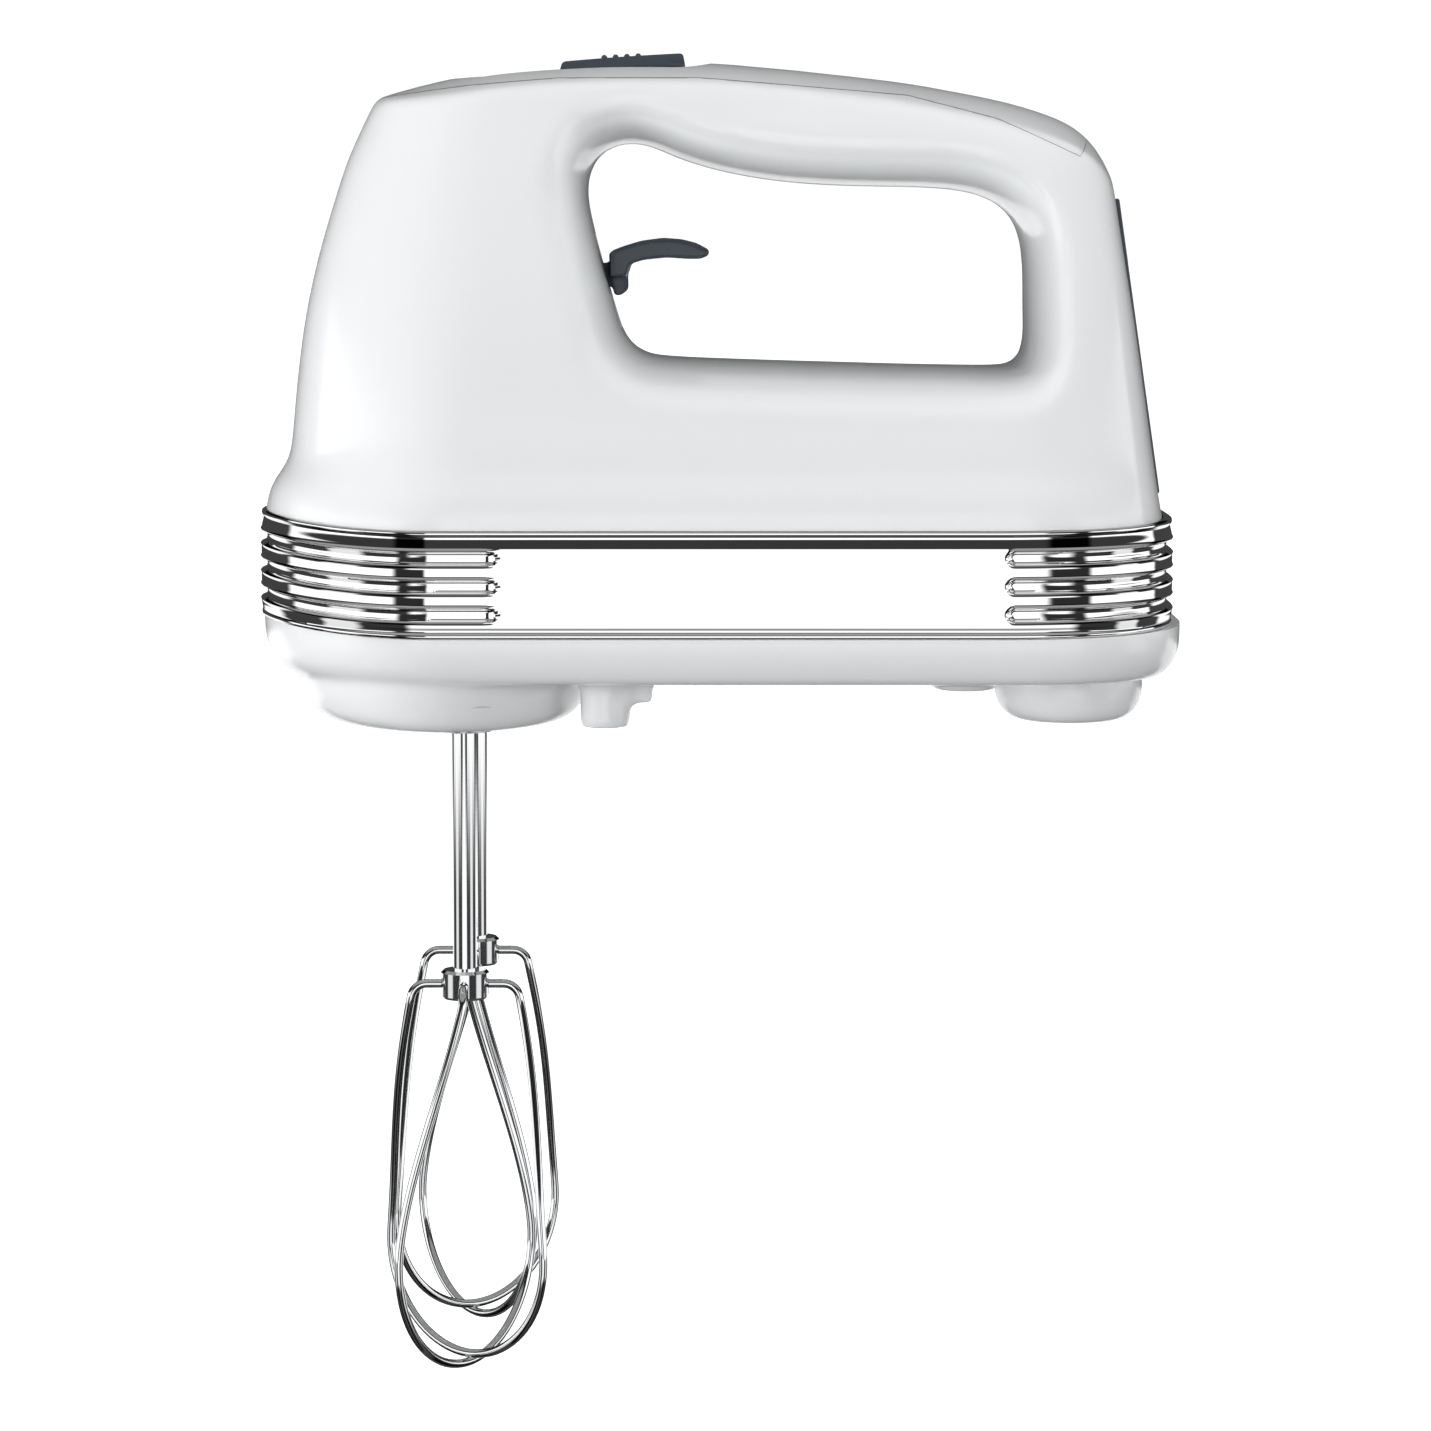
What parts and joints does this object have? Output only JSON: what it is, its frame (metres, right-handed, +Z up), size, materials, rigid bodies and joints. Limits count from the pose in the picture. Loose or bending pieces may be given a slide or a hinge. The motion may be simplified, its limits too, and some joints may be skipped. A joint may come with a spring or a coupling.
{
  "type": "hand mixer",
  "caption": "Electric hand mixer with loop handle, thumb speed knob, eject lever, polished trim band and wire beaters on worm-driven chucks.",
  "frame": {"origin": "midway between the two chucks, in the plane of their mouths under the nose", "axes": "+X from the nose to the heel, +Y to the mixer's right as held, +Z up; the beaters hang along -Z"},
  "size_m": [0.198, 0.089, 0.2815],
  "materials": {
    "white_moulding": "moulded gloss",
    "polished_trim": "mirror plated",
    "dark_moulding": "satin, dark blue grey",
    "beater_chrome": "bright plated wire",
    "zinc_screws": "zinc plated",
    "cast_gearbox": "filled nylon, light grey",
    "bronze_bush": "sintered bronze",
    "stator_steel": "laminated steel",
    "coil_copper": "enamelled copper",
    "brush_carbon": "pressed carbon",
    "holder_plastic": "phenolic",
    "spring_steel": "drawn wire",
    "turned_steel": "turned",
    "nylon": "natural nylon",
    "board_green": "solder mask",
    "capacitor_case": "dipped resin",
    "sink_aluminium": "extruded"
  },
  "bodies": {
    "housing": {"upper_housing": "white_moulding", "handle_cover": "white_moulding", "trim_band": "polished_trim", "bottom_cover": "white_moulding", "heel_strip": "dark_moulding", "housing_screws": "zinc_screws", "gearbox_base": "cast_gearbox", "gearbox_cover": "cast_gearbox", "gearbox_screws": "zinc_screws", "spindle_bush_left": "bronze_bush", "spindle_bush_right": "bronze_bush", "front_bearing": "bronze_bush", "rear_bearing": "bronze_bush", "bearing_bracket": "cast_gearbox", "motor_screws": "zinc_screws", "motor_stator": "stator_steel", "field_coil_top": "coil_copper", "field_coil_bottom": "coil_copper", "brush_holder_left": "holder_plastic", "brush_holder_right": "holder_plastic", "carbon_brush_left": "brush_carbon", "carbon_brush_right": "brush_carbon", "brush_spring_left": "spring_steel", "brush_spring_right": "spring_steel", "ejector_spring": "spring_steel", "speed_switch": "holder_plastic", "circuit_board": "board_green", "suppressor_capacitor": "capacitor_case", "heat_sink": "sink_aluminium", "terminal_block": "nylon", "swivel_ring": "nylon"},
    "rotor": {"motor_shaft": "turned_steel", "armature_core": "stator_steel", "armature_windings": "coil_copper", "commutator": "coil_copper", "worm": "turned_steel", "cooling_fan": "nylon"},
    "spindle_left": {"worm_wheel_left": "nylon", "chuck_left": "turned_steel", "wheel_clip_left": "turned_steel"},
    "spindle_right": {"worm_wheel_right": "nylon", "chuck_right": "turned_steel", "wheel_clip_right": "turned_steel"},
    "beater_left": {"beater_shaft_left": "beater_chrome", "beater_hub_left": "beater_chrome", "wire_loop_a_left": "beater_chrome", "wire_loop_b_left": "beater_chrome"},
    "beater_right": {"beater_shaft_right": "beater_chrome", "beater_hub_right": "beater_chrome", "wire_loop_a_right": "beater_chrome", "wire_loop_b_right": "beater_chrome"},
    "knob": {"speed_knob": "dark_moulding"},
    "lever": {"eject_lever": "dark_moulding"},
    "ejector": {"ejector_plate": "nylon"},
    "swivel": {"cord_swivel": "white_moulding", "swivel_clip": "turned_steel", "cord_grommet": "dark_moulding"}
  },
  "joints": [
    {"name": "motor_spin", "type": "hinge", "parent": "housing", "child": "rotor", "pos_m": [0, 0, 0.04], "axis": [1, 0, 0], "continuous": true},
    {"name": "spindle_left_spin", "type": "hinge", "parent": "housing", "child": "spindle_left", "pos_m": [0, -0.023, 0.04], "axis": [0, 0, 1], "continuous": true},
    {"name": "spindle_right_spin", "type": "hinge", "parent": "housing", "child": "spindle_right", "pos_m": [0, 0.023, 0.04], "axis": [0, 0, 1], "continuous": true},
    {"name": "beater_left_pull", "type": "slide", "parent": "spindle_left", "child": "beater_left", "axis": [0, 0, -1], "range_m": [0, 0.045]},
    {"name": "beater_right_pull", "type": "slide", "parent": "spindle_right", "child": "beater_right", "axis": [0, 0, -1], "range_m": [0, 0.045]},
    {"name": "speed_slide", "type": "slide", "parent": "housing", "child": "knob", "axis": [-0.999, 0, -0.0454], "range_m": [0, 0.022]},
    {"name": "eject_press", "type": "slide", "parent": "housing", "child": "lever", "axis": [0.2436, 0, -0.9699], "range_m": [0, 0.005], "stiffness_N_per_m": 800, "springref_m": -0.002},
    {"name": "ejector_drop", "type": "slide", "parent": "housing", "child": "ejector", "axis": [0, 0, -1], "range_m": [0, 0.005], "deforming": ["ejector_spring"]},
    {"name": "cord_swivel_turn", "type": "hinge", "parent": "housing", "child": "swivel", "pos_m": [0.13, 0, 0.011], "axis": [0, 0, 1], "range_deg": [-180, 0]}
  ],
  "couplings": [
    {"joint": "spindle_left_spin", "follows": "motor_spin", "ratio": 0.029412},
    {"joint": "spindle_right_spin", "follows": "motor_spin", "ratio": -0.029412},
    {"joint": "ejector_drop", "follows": "eject_press", "ratio": 0.96987}
  ]
}
